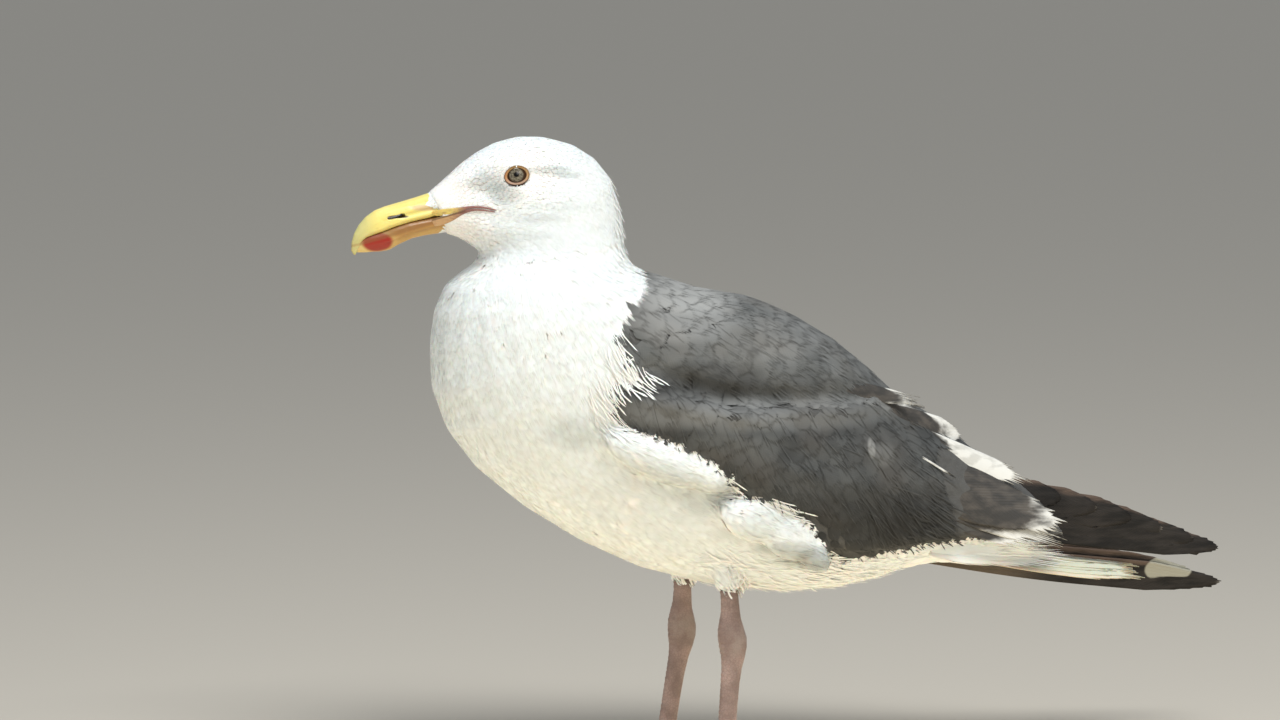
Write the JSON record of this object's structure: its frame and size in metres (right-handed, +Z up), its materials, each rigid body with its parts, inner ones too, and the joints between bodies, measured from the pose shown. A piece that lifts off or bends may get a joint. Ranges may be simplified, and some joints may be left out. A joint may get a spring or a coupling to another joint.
{
  "type": "seagull",
  "caption": "Life-size gull standing at rest on both webbed feet, with a heavy hooked bill, white body, dark grey folded wings and crossed wing tips.",
  "frame": {"origin": "on the floor, under the centre of the model's bounding box", "axes": "+Z up, -X the way the bird faces, -Y its left side"},
  "size_m": [0.527, 0.149, 0.3556],
  "materials": {
    "white_feathers": "matte",
    "slate_feathers": "matte",
    "wing_feathers": "matte",
    "quill_feathers": "satin",
    "bill_horn": "satin",
    "lower_bill_horn": "satin",
    "eye": "gloss",
    "leg_skin": "satin",
    "claw_horn": "satin"
  },
  "bodies": {
    "root": {"head": "white_feathers", "neck": "white_feathers", "trunk": "white_feathers", "mantle": "slate_feathers", "wing_left": "wing_feathers", "wing_right": "wing_feathers", "primaries_left": "quill_feathers", "primaries_right": "quill_feathers", "tail": "white_feathers", "upper_bill": "bill_horn", "lower_bill": "lower_bill_horn", "eye_left": "eye", "eye_right": "eye", "thigh_left": "white_feathers", "thigh_right": "white_feathers", "tibia_left": "leg_skin", "tibia_right": "leg_skin", "tarsus_left": "leg_skin", "tarsus_right": "leg_skin", "foot_left": "leg_skin", "foot_right": "leg_skin", "hallux_left": "leg_skin", "hallux_right": "leg_skin", "claw_inner_left": "claw_horn", "claw_middle_left": "claw_horn", "claw_outer_left": "claw_horn", "claw_inner_right": "claw_horn", "claw_middle_right": "claw_horn", "claw_outer_right": "claw_horn"}
  },
  "joints": []
}
